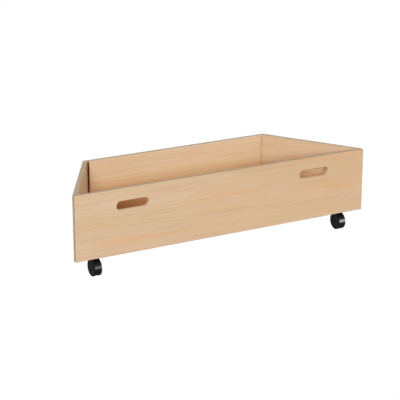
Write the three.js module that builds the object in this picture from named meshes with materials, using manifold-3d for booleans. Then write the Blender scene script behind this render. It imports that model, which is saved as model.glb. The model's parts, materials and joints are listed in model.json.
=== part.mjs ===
// Low wooden storage box on castors, made to roll under a bed.
//
// The box is an isosceles trapezoid in plan: a long front panel with two
// stadium-shaped handle slots, two side panels that run in at 60 degrees to the
// front, and a shorter back panel that sits between the side panels. A bottom
// panel lies inside the four walls and carries four swivel castors, each with
// two narrow wheels.
//
// Millimetres. +X along the front panel, -Y out of the front face, +Z up.
// The origin is on the floor, below the centre of the object's bounding box.

import * as THREE from 'three';
import { mergeVertices } from 'three/addons/utils/BufferGeometryUtils.js';
import Module from 'manifold-3d';

const wasm = await Module();
wasm.setup();

// ---------------------------------------------------------------- dimensions
const FRONT_LENGTH = 945;        // outer length of the front panel
const DEPTH = 300;               // front face to the outer face of the back panel
const PANEL_HEIGHT = 188;        // height of the four wall panels
const BOARD = 13;                // board thickness of every panel
const SIDE_ANGLE = 60;           // degrees between a side panel and the front
const PANEL_LIFT = 57;           // floor to the lower edges of the wall panels
const ARRIS = 2;                 // radius on the boards' long edges
const GAP = 0.3;                 // clearance between neighbouring pieces

const SLOT_LENGTH = 100;         // handle slot, end to end
const SLOT_HEIGHT = 26;
const SLOT_CENTRE_X = 297;       // slot centre from the middle of the front
const SLOT_DROP = 48.5;          // slot centre below the top edge

const FLOOR_UNDERSIDE = 65;      // underside of the bottom panel, where castors fix

const WHEEL_RADIUS = 25;
const WHEEL_WIDTH = 7.0;
const WHEEL_OFFSET = 7.5;        // middle of a wheel from the castor's mid plane
const WHEEL_TREAD_RADIUS = 2.8;  // rounding across the tread's two corners
const WHEEL_SIDES = 26;
const WHEEL_TOP = 2 * WHEEL_RADIUS;
const AXLE_RADIUS = 2.0;
const AXLE_LENGTH = 18.4;
const TRAIL = 22;                // swivel axis to axle, seen from above
const WEB_THICKNESS = 7.2;       // housing between the two wheels
const BOSS_RADIUS = 8;
const KINGPIN_RADIUS = 3.5;
const PLATE_SIZE = 38;
const PLATE_THICKNESS = 2;
const PLATE_SCREW_PITCH = 28;    // square pattern of four screws

const FRONT_CASTOR = { x: 405, y: -102.5 };   // swivel axes, mirrored in x
const REAR_CASTOR = { x: 282.5, y: 95 };

const DOWEL_RADIUS = 3;
const DOWEL_LEVELS = [105, 200]; // heights of the front corners' dowels
const BACK_DOWEL_LEVELS = [95, 140]; // and of the back corners', low down in the gap
const DOWEL_IN_FRONT = 8.5;      // depth of a dowel in the front panel
const CORNER_DOWEL_X = 462.1;    // front corner dowels, in the middle of a side panel's end
const SCREW_LEVEL = FLOOR_UNDERSIDE + BOARD / 2;

// ---------------------------------------------------------------- derived
const Y_FRONT = -DEPTH / 2;
const Y_BACK = DEPTH / 2;
const X_END = FRONT_LENGTH / 2;
const Z_LOW = PANEL_LIFT;
const Z_HIGH = PANEL_LIFT + PANEL_HEIGHT;
const Y_INNER_FRONT = Y_FRONT + BOARD;
const Y_INNER_BACK = Y_BACK - BOARD;
const A = THREE.MathUtils.degToRad(SIDE_ANGLE);
const COT = 1 / Math.tan(A);
const SLANT = BOARD / Math.sin(A);          // a side panel's thickness along x
// x of a side panel's outer face at depth y, on the left (negative) side
const sideOuterX = (y) => -X_END + (y - Y_INNER_FRONT) * COT;
const sideInnerX = (y) => sideOuterX(y) + SLANT;
const BACK_HALF = -sideInnerX(Y_BACK) - GAP / Math.sin(A);

// ---------------------------------------------------------------- materials
const beech = (name) => new THREE.MeshStandardMaterial({ name, color: 0xd8b591, roughness: 0.55, metalness: 0 });
const dowelWood = new THREE.MeshStandardMaterial({ name: 'dowel_wood', color: 0xcaa677, roughness: 0.7, metalness: 0 });
const screwSteel = new THREE.MeshStandardMaterial({ name: 'screw_steel', color: 0xb9bcc0, roughness: 0.35, metalness: 1 });
const plateSteel = new THREE.MeshStandardMaterial({ name: 'plate_steel', color: 0x2a2b2d, roughness: 0.4, metalness: 0.8 });
const axleSteel = new THREE.MeshStandardMaterial({ name: 'axle_steel', color: 0xa9acb0, roughness: 0.3, metalness: 1 });
const housingPlastic = new THREE.MeshStandardMaterial({ name: 'housing_plastic', color: 0x161616, roughness: 0.38, metalness: 0 });
const wheelPlastic = new THREE.MeshStandardMaterial({ name: 'wheel_plastic', color: 0x1b1b1b, roughness: 0.42, metalness: 0 });

// ---------------------------------------------------------------- solid helpers
function solid(geometry) {
  const g = geometry.clone();
  g.deleteAttribute('normal');
  g.deleteAttribute('uv');
  const m = mergeVertices(g, 1e-4);
  return new wasm.Manifold(new wasm.Mesh({
    numProp: 3,
    vertProperties: new Float32Array(m.attributes.position.array),
    triVerts: new Uint32Array(m.index.array),
  }));
}

function geometryOf(manifold) {
  const mesh = manifold.getMesh();
  const g = new THREE.BufferGeometry();
  g.setAttribute('position', new THREE.BufferAttribute(new Float32Array(mesh.vertProperties), 3));
  g.setIndex(new THREE.BufferAttribute(new Uint32Array(mesh.triVerts), 1));
  g.computeVertexNormals();
  return g;
}

function block(x0, x1, y0, y1, z0, z1) {
  const g = new THREE.BoxGeometry(x1 - x0, y1 - y0, z1 - z0);
  g.translate((x0 + x1) / 2, (y0 + y1) / 2, (z0 + z1) / 2);
  return solid(g);
}

// a closed cylinder from point a to point b
function rod(a, b, radius, sides = 16, radiusEnd = radius) {
  const from = new THREE.Vector3(...a);
  const to = new THREE.Vector3(...b);
  const along = to.clone().sub(from);
  const length = along.length();
  const g = new THREE.CylinderGeometry(radiusEnd, radius, length, sides);
  g.translate(0, length / 2, 0);
  g.applyQuaternion(new THREE.Quaternion().setFromUnitVectors(new THREE.Vector3(0, 1, 0), along.normalize()));
  g.translate(from.x, from.y, from.z);
  return solid(g);
}

// a solid of revolution about a line from `base` along `axis`; the profile is
// a list of [radius, distance along the axis], from axis to axis
function turned(profile, base, axis, sides, phase = 0) {
  const g = new THREE.LatheGeometry(profile.map(([r, h]) => new THREE.Vector2(r, h)), sides, phase);
  g.applyQuaternion(new THREE.Quaternion().setFromUnitVectors(new THREE.Vector3(0, 1, 0), new THREE.Vector3(...axis).normalize()));
  g.translate(...base);
  return g;
}

// rectangle thick x high with rounded corners, centred on its own origin
function boardSection(thick, high, r, steps = 2) {
  const shape = new THREE.Shape();
  const hx = thick / 2;
  const hy = high / 2;
  const corner = (cx, cy, start) => {
    for (let i = 0; i <= steps; i += 1) {
      const t = start + (i / steps) * Math.PI / 2;
      const x = cx + r * Math.cos(t);
      const y = cy + r * Math.sin(t);
      if (shape.curves.length === 0 && shape.currentPoint.lengthSq() === 0 && i === 0 && start === 0) shape.moveTo(x, y);
      else shape.lineTo(x, y);
    }
  };
  corner(hx - r, hy - r, 0);
  corner(-hx + r, hy - r, Math.PI / 2);
  corner(-hx + r, -hy + r, Math.PI);
  corner(hx - r, -hy + r, Math.PI * 1.5);
  shape.closePath();
  return shape;
}

// a board of the wall section, its mid plane through `start`, running along `dir`
function board(start, dir, length) {
  const g = new THREE.ExtrudeGeometry(boardSection(BOARD, PANEL_HEIGHT, ARRIS), { depth: length, bevelEnabled: false, steps: 1 });
  const along = new THREE.Vector3(dir[0], dir[1], 0).normalize();
  const up = new THREE.Vector3(0, 0, 1);
  const across = new THREE.Vector3().crossVectors(up, along);
  const m = new THREE.Matrix4().makeBasis(across, up, along);
  g.applyMatrix4(m);
  g.translate(start[0], start[1], (Z_LOW + Z_HIGH) / 2);
  return solid(g);
}

function cut(piece, ...tools) {
  return tools.reduce((acc, tool) => acc.subtract(tool), piece);
}

const group = new THREE.Group();

function addPiece(name, shape, material, parent = group) {
  const geometry = shape.isBufferGeometry ? geometryOf(solid(shape)) : geometryOf(shape);
  const mesh = new THREE.Mesh(geometry, material);
  mesh.name = name;
  parent.add(mesh);
  return mesh;
}

// ---------------------------------------------------------------- fixing positions
const sides = [-1, 1];
const sideName = { '-1': 'left', 1: 'right' };

// front panel to side panel: dowels along y
const frontDowels = [];
for (const s of sides) {
  DOWEL_LEVELS.forEach((z, i) => {
    frontDowels.push({
      name: `front_${sideName[s]}_corner_dowel_${i + 1}`,
      a: [s * CORNER_DOWEL_X, Y_INNER_FRONT - DOWEL_IN_FRONT, z],
      b: [s * CORNER_DOWEL_X, Y_INNER_FRONT + 9, z],
    });
  });
}
// side panel to back panel: dowels along x, across the back corner's V-shaped gap
const backDowels = [];
for (const s of sides) {
  BACK_DOWEL_LEVELS.forEach((z, i) => {
    backDowels.push({
      name: `back_${sideName[s]}_corner_dowel_${i + 1}`,
      a: [s * 305, Y_BACK - BOARD / 2, z],
      b: [s * 269.5, Y_BACK - BOARD / 2, z],
    });
  });
}
// front panel to bottom panel
const floorDowels = [-250, 0, 250].map((x, i) => ({
  name: `front_bottom_dowel_${i + 1}`,
  a: [x, Y_INNER_FRONT - DOWEL_IN_FRONT, SCREW_LEVEL],
  b: [x, Y_INNER_FRONT + 18.5, SCREW_LEVEL],
}));
// side and back panels to the bottom panel: countersunk screws from outside
const wallScrews = [];
for (const s of sides) {
  [120, 240].forEach((run, i) => {
    const x = -X_END + run * Math.cos(A);
    const y = Y_INNER_FRONT + run * Math.sin(A);
    wallScrews.push({
      name: `${sideName[s]}_side_screw_${i + 1}`,
      head: [s * -x, y, SCREW_LEVEL],
      dir: [-s * Math.sin(A), -Math.cos(A), 0],
    });
  });
}
[-150, 150].forEach((x, i) => {
  wallScrews.push({ name: `back_screw_${i + 1}`, head: [x, Y_BACK, SCREW_LEVEL], dir: [0, -1, 0] });
});
const SCREW_LENGTH = 40;
const SCREW_HEAD_RADIUS = 4;
const SCREW_SHANK_RADIUS = 2;

const along = (p, d, t) => [p[0] + d[0] * t, p[1] + d[1] * t, p[2] + d[2] * t];

function wallScrewHole(screw) {
  const g = SCREW_HEAD_RADIUS;
  return rod(along(screw.head, screw.dir, -1), along(screw.head, screw.dir, SCREW_LENGTH + 1), SCREW_SHANK_RADIUS + GAP, 12)
    .add(rod(along(screw.head, screw.dir, -1), along(screw.head, screw.dir, 0.6), g + 0.5, 12))
    .add(rod(along(screw.head, screw.dir, 0.59), along(screw.head, screw.dir, 3.1), g + 0.5, 12, SCREW_SHANK_RADIUS + GAP));
}

function dowelHole(dowel) {
  const a = new THREE.Vector3(...dowel.a);
  const b = new THREE.Vector3(...dowel.b);
  const d = b.clone().sub(a).normalize().multiplyScalar(0.5);
  return rod(a.sub(d).toArray(), b.add(d).toArray(), DOWEL_RADIUS + GAP, 10);
}

const frontDowelHoles = frontDowels.map(dowelHole);
const backDowelHoles = backDowels.map(dowelHole);
const floorDowelHoles = floorDowels.map(dowelHole);
const wallScrewHoles = wallScrews.map(wallScrewHole);

const castors = [
  { name: 'front_left', x: -FRONT_CASTOR.x, y: FRONT_CASTOR.y },
  { name: 'front_right', x: FRONT_CASTOR.x, y: FRONT_CASTOR.y },
  { name: 'rear_left', x: -REAR_CASTOR.x, y: REAR_CASTOR.y },
  { name: 'rear_right', x: REAR_CASTOR.x, y: REAR_CASTOR.y },
];
const PLATE_TOP = FLOOR_UNDERSIDE - GAP;
const PLATE_UNDER = PLATE_TOP - PLATE_THICKNESS;
const PLATE_SCREW_TIP = FLOOR_UNDERSIDE + 9;
const PLATE_SCREW_SHANK = 1.6;
const plateScrewOffsets = [[-1, -1], [1, -1], [-1, 1], [1, 1]].map(([i, j]) => [i * PLATE_SCREW_PITCH / 2, j * PLATE_SCREW_PITCH / 2]);

// ---------------------------------------------------------------- front panel
{
  const outline = new THREE.Shape();
  outline.moveTo(-X_END, -PANEL_HEIGHT / 2);
  outline.lineTo(X_END, -PANEL_HEIGHT / 2);
  outline.lineTo(X_END, PANEL_HEIGHT / 2);
  outline.lineTo(-X_END, PANEL_HEIGHT / 2);
  outline.closePath();
  for (const s of sides) {
    const hole = new THREE.Path();
    const r = SLOT_HEIGHT / 2;
    const half = SLOT_LENGTH / 2 - r;
    const cx = s * SLOT_CENTRE_X;
    const cz = PANEL_HEIGHT / 2 - SLOT_DROP;
    hole.absarc(cx + half, cz, r, -Math.PI / 2, Math.PI / 2, false);
    hole.absarc(cx - half, cz, r, Math.PI / 2, Math.PI * 1.5, false);
    hole.closePath();
    outline.holes.push(hole);
  }
  const g = new THREE.ExtrudeGeometry(outline, {
    depth: BOARD - 2 * ARRIS,
    curveSegments: 9,
    bevelEnabled: true,
    bevelThickness: ARRIS,
    bevelSize: ARRIS,
    bevelOffset: -ARRIS,
    bevelSegments: 2,
  });
  g.rotateX(Math.PI / 2);
  g.translate(0, Y_INNER_FRONT - ARRIS, (Z_LOW + Z_HIGH) / 2);
  addPiece('front_panel', cut(solid(g), ...frontDowelHoles, ...floorDowelHoles), beech('front_wood'));
}

// ---------------------------------------------------------------- side panels
for (const s of sides) {
  const length = DEPTH / Math.sin(A) + 60;
  const dir = [-s * Math.cos(A), Math.sin(A)];
  const inward = [-s * Math.sin(A), -Math.cos(A)];
  const start = [
    s * X_END + inward[0] * BOARD / 2 - dir[0] * 30,
    Y_INNER_FRONT + inward[1] * BOARD / 2 - dir[1] * 30,
  ];
  const trim = block(-X_END - 50, X_END + 50, Y_INNER_FRONT + GAP, Y_BACK, Z_LOW - 10, Z_HIGH + 10);
  const piece = cut(board(start, dir, length).intersect(trim), ...frontDowelHoles, ...backDowelHoles, ...wallScrewHoles);
  addPiece(`${sideName[s]}_side_panel`, piece, beech('side_wood'));
}

// ---------------------------------------------------------------- back panel
addPiece('back_panel', cut(board([-BACK_HALF, Y_BACK - BOARD / 2], [1, 0], 2 * BACK_HALF), ...backDowelHoles, ...wallScrewHoles), beech('back_wood'));

// ---------------------------------------------------------------- bottom panel
{
  const inset = GAP / Math.sin(A);
  const y0 = Y_INNER_FRONT + GAP;
  const y1 = Y_INNER_BACK - GAP;
  const xFront = -sideInnerX(y0) - inset;
  const xBack = -sideInnerX(y1) - inset;
  const outline = new THREE.Shape();
  outline.moveTo(-xFront, y0);
  outline.lineTo(xFront, y0);
  outline.lineTo(xBack, y1);
  outline.lineTo(-xBack, y1);
  outline.closePath();
  const g = new THREE.ExtrudeGeometry(outline, { depth: BOARD, bevelEnabled: false });
  g.translate(0, 0, FLOOR_UNDERSIDE);
  const pilots = [];
  for (const c of castors) {
    for (const [dx, dy] of plateScrewOffsets) {
      pilots.push(rod([c.x + dx, c.y + dy, FLOOR_UNDERSIDE - 1], [c.x + dx, c.y + dy, PLATE_SCREW_TIP + 0.5], PLATE_SCREW_SHANK + GAP + 0.1, 8));
    }
  }
  addPiece('bottom_panel', cut(solid(g), ...floorDowelHoles, ...wallScrewHoles, ...pilots), beech('bottom_wood'));
}

// ---------------------------------------------------------------- dowels and wall screws
for (const d of [...frontDowels, ...backDowels, ...floorDowels]) {
  const a = new THREE.Vector3(...d.a);
  const b = new THREE.Vector3(...d.b);
  const length = a.distanceTo(b);
  const axis = b.clone().sub(a).normalize();
  const r = DOWEL_RADIUS;
  addPiece(d.name, turned([[0, 0], [r - 0.8, 0], [r, 1], [r, length - 1], [r - 0.8, length], [0, length]], d.a, axis.toArray(), 10), dowelWood);
}

for (const s of wallScrews) {
  const h = SCREW_HEAD_RADIUS;
  const k = SCREW_SHANK_RADIUS;
  const profile = [[0, 0.2], [h, 0.2], [h, 0.6], [k, 2.9], [k, SCREW_LENGTH - 5], [0, SCREW_LENGTH]];
  addPiece(s.name, turned(profile, s.head, s.dir, 12), screwSteel);
}

// ---------------------------------------------------------------- castors
function castorPlate() {
  const h = PLATE_SIZE / 2;
  const r = 5;
  const shape = new THREE.Shape();
  shape.absarc(h - r, h - r, r, 0, Math.PI / 2, false);
  shape.absarc(-h + r, h - r, r, Math.PI / 2, Math.PI, false);
  shape.absarc(-h + r, -h + r, r, Math.PI, Math.PI * 1.5, false);
  shape.absarc(h - r, -h + r, r, Math.PI * 1.5, Math.PI * 2, false);
  shape.closePath();
  const g = new THREE.ExtrudeGeometry(shape, { depth: PLATE_THICKNESS, bevelEnabled: false, curveSegments: 3 });
  g.translate(0, 0, PLATE_UNDER);
  let plate = solid(g);
  for (const [dx, dy] of plateScrewOffsets) {
    plate = plate.subtract(rod([dx, dy, PLATE_UNDER - 1], [dx, dy, PLATE_TOP + 1], PLATE_SCREW_SHANK + 0.6, 8));
  }
  const collar = rod([0, 0, PLATE_UNDER - 0.8], [0, 0, PLATE_UNDER + 0.5], 6.5, 14);
  const pin = rod([0, 0, WHEEL_TOP + 0.6], [0, 0, PLATE_UNDER + 0.5], KINGPIN_RADIUS, 14);
  return plate.add(collar).add(pin);
}

// housing: web between the wheels, boss on the swivel axis, saddle over the wheels
function castorHousing() {
  const w = WEB_THICKNESS / 2;
  const zc = WHEEL_RADIUS;
  const boss = rod([0, 0, WHEEL_TOP - 2], [0, 0, PLATE_UNDER - 1.3], BOSS_RADIUS, 18);
  const web = rod([-w, -TRAIL, zc], [w, -TRAIL, zc], WHEEL_RADIUS - 0.6, 28)
    .subtract(block(-w - 1, w + 1, -TRAIL - 40, -TRAIL + 40, -10, 9));
  const gusset = new THREE.Shape();
  gusset.moveTo(-TRAIL, WHEEL_RADIUS + 6);
  gusset.lineTo(3, WHEEL_TOP - 14);
  gusset.lineTo(6.8, WHEEL_TOP - 8);
  gusset.lineTo(7.4, WHEEL_TOP + 4);
  gusset.lineTo(-TRAIL, WHEEL_TOP + 4);
  gusset.closePath();
  const gg = new THREE.ExtrudeGeometry(gusset, { depth: 2 * w, bevelEnabled: false });
  // profile drawn in (y, z), extruded along x
  gg.applyMatrix4(new THREE.Matrix4().makeBasis(new THREE.Vector3(0, 1, 0), new THREE.Vector3(0, 0, 1), new THREE.Vector3(1, 0, 0)));
  gg.translate(-w, 0, 0);
  const saddle = new THREE.Shape();
  saddle.moveTo(-TRAIL - 8, WHEEL_TOP + 0.9);
  saddle.lineTo(5.2, WHEEL_TOP + 0.9);
  saddle.lineTo(5.2, WHEEL_TOP + 4.4);
  saddle.lineTo(3.2, WHEEL_TOP + 5.8);
  saddle.lineTo(-TRAIL - 1, WHEEL_TOP + 5.8);
  saddle.lineTo(-TRAIL - 6, WHEEL_TOP + 4.4);
  saddle.lineTo(-TRAIL - 8, WHEEL_TOP + 2.6);
  saddle.closePath();
  const gs = new THREE.ExtrudeGeometry(saddle, { depth: 22, bevelEnabled: false });
  gs.applyMatrix4(new THREE.Matrix4().makeBasis(new THREE.Vector3(0, 1, 0), new THREE.Vector3(0, 0, 1), new THREE.Vector3(1, 0, 0)));
  gs.translate(-11, 0, 0);
  // the same saddle seen from the front, with its upper corners rounded
  const crown = new THREE.Shape();
  crown.moveTo(-9.4, WHEEL_TOP - 1);
  crown.lineTo(9.4, WHEEL_TOP - 1);
  crown.lineTo(9.4, WHEEL_TOP + 2.8);
  crown.lineTo(8.6, WHEEL_TOP + 4.8);
  crown.lineTo(6.6, WHEEL_TOP + 5.8);
  crown.lineTo(-6.6, WHEEL_TOP + 5.8);
  crown.lineTo(-8.6, WHEEL_TOP + 4.8);
  crown.lineTo(-9.4, WHEEL_TOP + 2.8);
  crown.closePath();
  const gc = new THREE.ExtrudeGeometry(crown, { depth: 60, bevelEnabled: false });
  gc.rotateX(Math.PI / 2);
  gc.translate(0, 20, 0);
  const saddleSolid = solid(gs).intersect(solid(gc));
  return boss.add(web).add(solid(gg)).add(saddleSolid)
    .subtract(rod([0, 0, WHEEL_TOP - 0.1], [0, 0, PLATE_UNDER + 5], KINGPIN_RADIUS + GAP + 0.2, 14))
    .subtract(rod([-12, -TRAIL, zc], [12, -TRAIL, zc], AXLE_RADIUS + GAP, 12));
}

// wheel, turned about x; `side` is the way its outer face looks
function castorWheel(side) {
  const f = 1 / Math.cos(Math.PI / WHEEL_SIDES);   // flats of the polygon lie on the true radius
  const inner = WHEEL_OFFSET - WHEEL_WIDTH / 2;
  const outer = WHEEL_OFFSET + WHEEL_WIDTH / 2;
  const R = WHEEL_RADIUS;
  const t = WHEEL_TREAD_RADIUS;
  const bore = AXLE_RADIUS + GAP;
  const c = Math.SQRT1_2;
  const profile = [
    [0, outer - 1.3],
    [bore, outer - 1.3],
    [bore, inner],
    [R - t, inner],
    [R - t + t * c, inner + t - t * c],
    [R, inner + t],
    [R, outer - t],
    [R - t + t * c, outer - t + t * c],
    [R - t, outer],
    [R - 6, outer - 0.9],
    [8, outer - 0.9],
    [6.5, outer - 0.1],
    [0, outer - 0.1],
  ].map(([r, h]) => [r * f, h]);
  // the lathe's profile runs from the axis at the bore's end, round, and back to the axis
  return turned(profile, [0, -TRAIL, WHEEL_RADIUS], [side, 0, 0], WHEEL_SIDES, Math.PI / WHEEL_SIDES);
}

const plateSolid = castorPlate();
const housingSolid = castorHousing();

for (const c of castors) {
  const g = new THREE.Group();
  g.position.set(c.x, c.y, 0);
  group.add(g);
  addPiece(`${c.name}_castor_plate`, plateSolid, plateSteel, g);
  addPiece(`${c.name}_castor_housing`, housingSolid, housingPlastic, g);
  const half = AXLE_LENGTH / 2;
  addPiece(`${c.name}_castor_axle`, rod([-half, -TRAIL, WHEEL_RADIUS], [half, -TRAIL, WHEEL_RADIUS], AXLE_RADIUS, 12), axleSteel, g);
  addPiece(`${c.name}_castor_left_wheel`, castorWheel(-1), wheelPlastic, g);
  addPiece(`${c.name}_castor_right_wheel`, castorWheel(1), wheelPlastic, g);
  plateScrewOffsets.forEach(([dx, dy], i) => {
    const profile = [
      [0, -2.1], [2.4, -2.1], [3.4, -1.4], [3.6, -0.3], [PLATE_SCREW_SHANK, -0.3],
      [PLATE_SCREW_SHANK, 10], [0, PLATE_SCREW_TIP - PLATE_UNDER],
    ];
    addPiece(`${c.name}_castor_screw_${i + 1}`, turned(profile, [dx, dy, PLATE_UNDER], [0, 0, 1], 8), screwSteel, g);
  });
}

export default group;
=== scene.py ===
"""Low wooden under-bed box on castors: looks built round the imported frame.
"""
import json
import math

import bmesh
import bpy
from mathutils import Matrix, Vector
from mathutils.geometry import tessellate_polygon

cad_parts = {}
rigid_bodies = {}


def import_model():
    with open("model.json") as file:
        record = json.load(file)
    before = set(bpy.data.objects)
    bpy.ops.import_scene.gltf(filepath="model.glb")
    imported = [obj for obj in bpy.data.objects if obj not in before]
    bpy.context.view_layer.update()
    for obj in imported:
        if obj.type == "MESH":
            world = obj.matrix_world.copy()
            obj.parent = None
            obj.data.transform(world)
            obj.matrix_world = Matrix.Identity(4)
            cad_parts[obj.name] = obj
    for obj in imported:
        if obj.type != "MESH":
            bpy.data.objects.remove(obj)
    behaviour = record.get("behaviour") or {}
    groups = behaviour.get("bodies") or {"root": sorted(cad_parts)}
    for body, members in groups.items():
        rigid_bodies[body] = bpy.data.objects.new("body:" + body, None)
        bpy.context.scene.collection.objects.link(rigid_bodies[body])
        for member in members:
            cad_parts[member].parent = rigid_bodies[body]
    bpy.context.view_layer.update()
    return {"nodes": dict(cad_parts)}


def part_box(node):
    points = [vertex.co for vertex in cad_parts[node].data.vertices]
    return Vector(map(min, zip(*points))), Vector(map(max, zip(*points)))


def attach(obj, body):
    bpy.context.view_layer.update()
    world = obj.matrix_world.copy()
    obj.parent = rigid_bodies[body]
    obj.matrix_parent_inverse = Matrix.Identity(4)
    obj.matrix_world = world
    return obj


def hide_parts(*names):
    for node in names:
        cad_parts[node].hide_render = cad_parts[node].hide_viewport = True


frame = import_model()

MM = 0.001
ANGLE = math.radians(60.0)      # side panels to the front
ARRIS = 2.0 * MM                # rounding of the boards' edges

# light levels
KEY_AZIMUTH, KEY_ELEVATION, KEY_POWER = 33.0, 16.0, 2.25
FILL_AZIMUTH, FILL_ELEVATION, FILL_POWER = -40.0, 27.0, 0.55
REAR_AZIMUTH, REAR_ELEVATION, REAR_POWER = 196.0, 9.0, 0.9
FRONT_SKY, BACK_SKY, ZENITH, GROUND = 0.36, 0.90, 0.75, 0.33
BOX_LEFT, BOX_RIGHT = 42.0, 122.0   # softboxes seen in the castors
CASTORS = ("front_left", "front_right", "rear_left", "rear_right")

# ------------------------------------------------------------------ camera
cam_data = bpy.data.cameras.new("camera")
cam = bpy.data.objects.new("camera", cam_data)
bpy.context.scene.collection.objects.link(cam)
cam_data.sensor_width = 36.0
cam_data.sensor_fit = "HORIZONTAL"
cam_data.lens = 127.174
cam_data.clip_start, cam_data.clip_end = 0.05, 200.0
YAW, PITCH = math.radians(29.6995), math.radians(17.7029)
cam.location = (-1.95593, -3.42607, 1.3783)
cam.rotation_euler = (math.pi / 2 - PITCH, 0.0, -YAW)
bpy.context.scene.camera = cam


# ------------------------------------------------------------------ node helpers
class Tree:
    """Short calls for building a node tree."""

    def __init__(self, tree):
        self.t = tree
        tree.nodes.clear()

    def node(self, kind, **props):
        n = self.t.nodes.new(kind)
        for k, v in props.items():
            setattr(n, k, v)
        return n

    def put(self, socket, value):
        if value is None:
            return
        if isinstance(value, bpy.types.NodeSocket):
            self.t.links.new(value, socket)
        elif socket.type == "RGBA" and not hasattr(value, "__len__"):
            socket.default_value = (value, value, value, 1.0)
        elif socket.type == "RGBA" and len(value) == 3:
            socket.default_value = (*value, 1.0)
        else:
            socket.default_value = value

    def math(self, op, a, b=None, c=None, clamp=False):
        n = self.node("ShaderNodeMath", operation=op, use_clamp=clamp)
        for s, v in zip(n.inputs, (a, b, c)):
            self.put(s, v)
        return n.outputs[0]

    def vmath(self, op, a, b=None):
        n = self.node("ShaderNodeVectorMath", operation=op)
        self.put(n.inputs[0], a)
        if b is not None:
            self.put(n.inputs[1], b)
        return n.outputs["Value"] if op in ("DOT_PRODUCT", "LENGTH", "DISTANCE") else n.outputs["Vector"]

    def mix(self, fac, a, b, blend="MIX"):
        n = self.node("ShaderNodeMix", data_type="RGBA", blend_type=blend)
        n.clamp_factor = True
        self.put(n.inputs[0], fac)
        self.put(n.inputs[6], a)
        self.put(n.inputs[7], b)
        return n.outputs[2]

    def noise(self, vec, scale=1.0, detail=2.0, rough=0.5, distortion=0.0):
        n = self.node("ShaderNodeTexNoise", noise_dimensions="3D")
        self.put(n.inputs["Vector"], vec)
        n.inputs["Scale"].default_value = scale
        n.inputs["Detail"].default_value = detail
        n.inputs["Roughness"].default_value = rough
        n.inputs["Distortion"].default_value = distortion
        return n.outputs[0]

    def smooth(self, value, lo, hi, out_lo=0.0, out_hi=1.0):
        n = self.node("ShaderNodeMapRange", interpolation_type="SMOOTHSTEP")
        for s, v in zip(n.inputs, (value, lo, hi, out_lo, out_hi)):
            self.put(s, v)
        return n.outputs[0]

    def linear(self, value, lo, hi, out_lo=0.0, out_hi=1.0):
        n = self.node("ShaderNodeMapRange", interpolation_type="LINEAR")
        n.clamp = True
        for s, v in zip(n.inputs, (value, lo, hi, out_lo, out_hi)):
            self.put(s, v)
        return n.outputs[0]

    def combine(self, x, y, z):
        n = self.node("ShaderNodeCombineXYZ")
        for s, v in zip(n.inputs, (x, y, z)):
            self.put(s, v)
        return n.outputs[0]

    def split(self, vec):
        n = self.node("ShaderNodeSeparateXYZ")
        self.put(n.inputs[0], vec)
        return n.outputs


def lin(r, g, b):
    """8-bit display values to linear."""
    def f(v):
        v /= 255.0
        return v / 12.92 if v <= 0.04045 else ((v + 0.055) / 1.055) ** 2.4
    return (f(r), f(g), f(b))


def principled(t, color, rough, metallic=0.0, spec=0.5, bump=None, bump_strength=0.3, bump_distance=0.0005, coat=0.0, coat_rough=0.2):
    out = t.node("ShaderNodeOutputMaterial")
    p = t.node("ShaderNodeBsdfPrincipled")
    t.put(p.inputs["Base Color"], color)
    t.put(p.inputs["Roughness"], rough)
    t.put(p.inputs["Metallic"], metallic)
    t.put(p.inputs["Specular IOR Level"], spec)
    t.put(p.inputs["Coat Weight"], coat)
    t.put(p.inputs["Coat Roughness"], coat_rough)
    if bump is not None:
        b = t.node("ShaderNodeBump")
        b.inputs["Strength"].default_value = bump_strength
        b.inputs["Distance"].default_value = bump_distance
        t.put(b.inputs["Height"], bump)
        t.put(p.inputs["Normal"], b.outputs[0])
    t.t.links.new(p.outputs[0], out.inputs[0])
    return p


def new_material(name):
    m = bpy.data.materials.new(name)
    m.use_nodes = True
    return m, Tree(m.node_tree)


# ------------------------------------------------------------------ wood
Y_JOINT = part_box("back_panel")[0].y      # inner face of the back panel
Z_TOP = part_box("back_panel")[1].z
Z_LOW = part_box("back_panel")[0].z
PAINTED_LOW_SHADE = (1.12, 0.94, 0.70)                # painted shade: the colour darkens and warms low down inside the box, where less light reaches
WOOD = lin(217, 182, 146)
PINK = lin(223, 186, 155)
YELLOW = lin(213, 180, 136)
ORANGE = lin(222, 173, 128)
PALE = lin(221, 190, 158)
BROWN = lin(198, 158, 120)


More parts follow.
